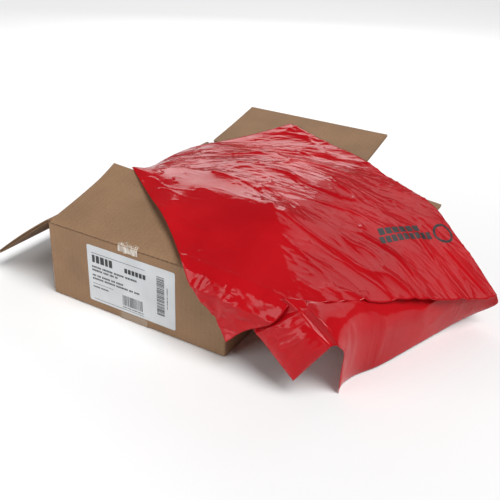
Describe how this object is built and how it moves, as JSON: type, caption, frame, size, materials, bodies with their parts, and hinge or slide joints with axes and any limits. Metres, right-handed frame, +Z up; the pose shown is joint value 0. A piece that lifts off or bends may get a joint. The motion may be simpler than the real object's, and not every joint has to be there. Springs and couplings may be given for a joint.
{
  "type": "open carton of waste bags with one bag drawn out",
  "caption": "Open corrugated carton with folded waste bags inside and one red film bag drawn out over its flaps; two top flaps hinge.",
  "frame": {"origin": "middle of the carton's base, on the plane it rests on", "axes": "+Z up; +X along the labelled end of the carton; +Y along its long side, away from the label"},
  "size_m": [0.7294, 0.6014, 0.1703],
  "materials": {
    "board": "brown kraft corrugated board, matte, C flute, with scored folds",
    "label": "white paper label, satin",
    "tape": "clear packing tape over kraft board, gloss",
    "folded_film": "folded red film in layers, soft gloss",
    "film": "thin red film, wrinkled, glossy, slightly translucent"
  },
  "bodies": {
    "carton": {"carton_body": "board", "shipping_label": "label", "bottom_tape": "tape", "torn_tape": "tape", "folded_bag_stack": "folded_film", "drawn_bag": "film"},
    "left_flap": {"left_flap": "board"},
    "back_flap": {"back_flap": "board"}
  },
  "joints": [
    {"name": "left_flap_fold", "type": "hinge", "parent": "carton", "child": "left_flap", "pos_m": [-0.1553, 0, 0.12], "axis": [0, 1, 0], "range_deg": [-12, 126]},
    {"name": "back_flap_fold", "type": "hinge", "parent": "carton", "child": "back_flap", "pos_m": [0, 0.2213, 0.12], "axis": [1, 0, 0], "range_deg": [-61, 0]}
  ]
}
